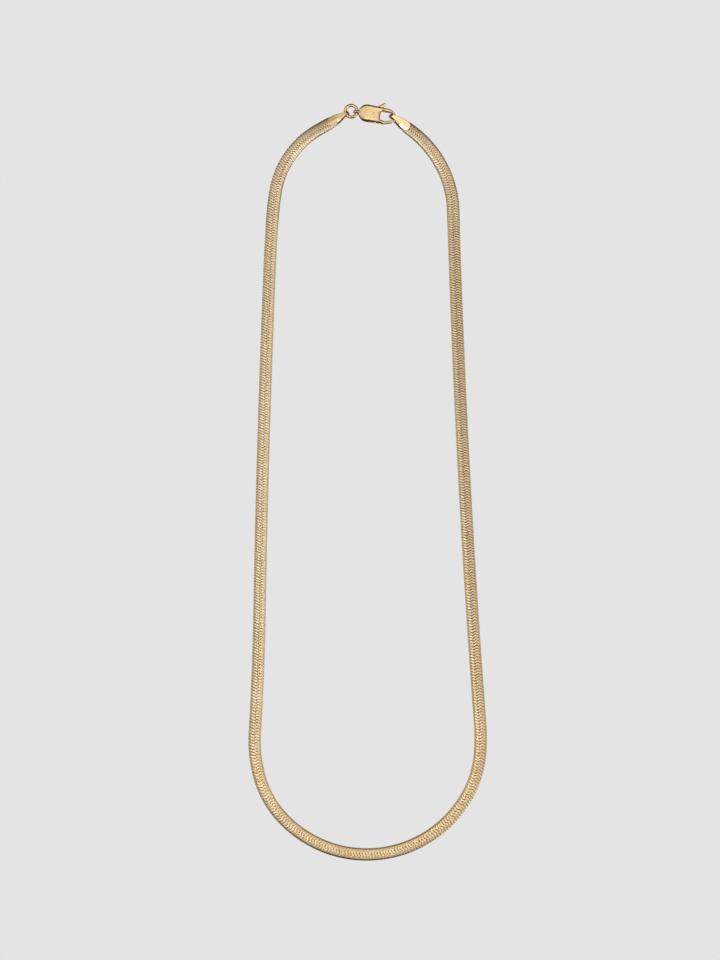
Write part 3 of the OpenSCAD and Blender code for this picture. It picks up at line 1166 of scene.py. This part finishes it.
@dataclass(frozen=True)
class Card:
    """A soft patch of light far away.

    Fields are its direction, how far it reaches from its middle, its colour, and how far from
    its middle it starts to fade. Angles are in degrees.
    """

    azimuth: float
    height: float
    width: float
    colour: tuple[float, float, float]
    full: float = 0.0

    def way(self) -> tuple[float, float, float]:
        """The direction to the card's middle."""
        turn, rise = math.radians(self.azimuth), math.radians(self.height)
        return (math.cos(turn) * math.cos(rise), math.sin(turn) * math.cos(rise), math.sin(rise))


@dataclass
class Studio:
    """A pale table between low side walls, cards in a gloom, and a camera straight above.

    The picture's scale is in millimetres a pixel, and the middle of the loop's box lies at
    centre_px in a picture of 720 by 960 pixels. To the metal the table is pale in and beside
    the loop and darkens over felt_end, in millimetres to the front and back of felt_middle.
    The table is table_size metres wide, and the camera sees what lies within clip, in metres.
    The walls fade out upwards over the heights wall_top, in degrees, and to the front and back
    over the shares wall_end.
    """

    picture: tuple[int, int] = (720, 960)
    scale: float = 0.2655
    centre_px: tuple[float, float] = (367.6, 482.05)
    distance: float = 550.0
    sensor: float = 36.0
    clip: tuple[float, float] = (0.01, 10.0)
    table_tone: float = 0.776
    table_size: float = 3.0
    gloom: tuple[float, float, float] = (0.05, 0.03, 0.012)
    side_walls: tuple[float, float, float] = (0.7, 0.66, 0.56)
    side_felt: tuple[float, float, float] = (0.62, 0.59, 0.52)
    wall_top: tuple[float, float] = (28.0, 48.0)
    wall_end: tuple[float, float] = (0.45, 0.8)
    felt_middle: float = -15.0
    felt_end: tuple[float, float] = (82.0, 86.0)
    # The ceiling, and then the smaller cards in it and below it
    cards: tuple[Card, ...] = (
        Card(0.0, 90.0, 44.0, (0.73, 0.7, 0.64), 28.0),
        Card(185.0, 86.0, 12.0, (0.14, 0.15, 0.16)),
        Card(228.0, 79.0, 5.0, (7.0, 6.9, 6.4), 3.0),
        Card(300.0, 74.0, 4.0, (2.5, 2.4, 2.1), 2.0),
        Card(62.0, 80.0, 10.0, (0.24, 0.22, 0.17)),
        Card(55.0, 56.0, 17.0, (0.6, 0.57, 0.51)),
        Card(352.0, 63.0, 9.0, (1.6, 1.5, 1.3)),
        Card(318.0, 26.0, 18.0, (3.4, 3.3, 3.0)),
        Card(160.0, 36.0, 28.0, (0.4, 0.37, 0.3)))

    def build_camera(self) -> None:
        """Sets the camera over the picture's middle."""
        data = bpy.data.cameras.new("camera")
        data.sensor_width = self.sensor
        data.lens = self.sensor * self.distance / (self.picture[1] * self.scale)
        data.clip_start, data.clip_end = self.clip
        camera = bpy.data.objects.new("camera", data)
        camera.location = ((self.picture[0] / 2 - self.centre_px[0]) * self.scale * MM,
                           (self.centre_px[1] - self.picture[1] / 2) * self.scale * MM,
                           self.distance * MM)
        bpy.context.scene.collection.objects.link(camera)
        bpy.context.scene.camera = camera

    def build_table(self) -> None:
        """Makes the pale table, which the metal sees in a deeper tone."""
        half = self.table_size / 2 / MM
        points = np.array([[-half, -half, 0], [half, -half, 0], [half, half, 0], [-half, half, 0]])
        table = mesh_object("table", points, np.array([[0, 1, 2, 3]]))
        made = bpy.data.materials.new("pale table")
        made.use_nodes = True
        tree = ShaderTree(made.node_tree)
        place = tree.add("ShaderNodeTexCoord", output="Object")
        across = tree.add("ShaderNodeSeparateXYZ", {}, {0: place}, "Y")
        back = (across - self.felt_middle * MM).size()
        low, high = (edge * MM for edge in self.felt_end)
        felt = tree.add("ShaderNodeEmission", {}, {
            "Color": tree.blend(back.fade(low, high), self.side_felt, self.gloom)})
        tree.add("ShaderNodeOutputMaterial", {}, {
            "Surface": self.seen_or_felt(tree, "ShaderNodeEmission", felt)})
        table.data.materials.append(made)

    def seen_or_felt(self, tree: ShaderTree, kind: str, felt: Socket) -> Socket:
        """Shows the table's plain tone to the eye, and another light to the metal.

        Args:
            tree: The tree to add to.
            kind: The node that glows.
            felt: The shader that lights the metal.

        Returns:
            The mixed shader.
        """
        plain = tree.add(kind, {}, {"Color": (self.table_tone,) * 3 + (1.0,)})
        seen = tree.add("ShaderNodeLightPath", output="Is Camera Ray")
        return tree.add("ShaderNodeMixShader", {}, {0: seen, 1: felt, 2: plain})

    def build_light(self) -> None:
        """Makes the light: low pale walls to the left and right, and the cards over the gloom."""
        world = bpy.data.worlds.new("studio")
        bpy.context.scene.world = world
        world.use_nodes = True
        tree = ShaderTree(world.node_tree)
        way = tree.add("ShaderNodeTexCoord", output="Generated")
        back = tree.add("ShaderNodeSeparateXYZ", {}, {0: way}, "Y").size()
        rise = tree.add("ShaderNodeSeparateXYZ", {}, {0: way}, "Z")
        low, high = (math.sin(math.radians(edge)) for edge in self.wall_top)
        beside = tree.blend(back.fade(*self.wall_end), self.side_walls, self.gloom)
        light = tree.blend(rise.fade(low, high), beside, self.gloom)
        for card in self.cards:
            near = tree.add("ShaderNodeVectorMath", {"operation": "DOT_PRODUCT"},
                            {0: way, 1: card.way()}, "Value")
            share = near.fade(*(math.cos(math.radians(edge)) for edge in (card.width, card.full)))
            light = tree.blend(share, light, card.colour, "ADD")
        glow = tree.add("ShaderNodeBackground", {}, {"Color": light})
        tree.add("ShaderNodeOutputWorld", {}, {
            "Surface": self.seen_or_felt(tree, "ShaderNodeBackground", glow)})
        bpy.context.scene.view_settings.view_transform = "Standard"

    def build(self) -> None:
        """Makes the camera, the table and the light."""
        self.build_camera()
        self.build_table()
        self.build_light()


def main() -> None:
    """Builds the studio, the chain and its fittings."""
    logging.basicConfig(level=logging.INFO, format="%(message)s")
    fastening = Fastening()
    Studio().build()
    WovenChain(ChainRoute(fastening)).build()
    EndTabs(fastening).build()
    JumpRing(fastening).build()
    LeverClasp(fastening).build()


if __name__ == "__main__":
    main()
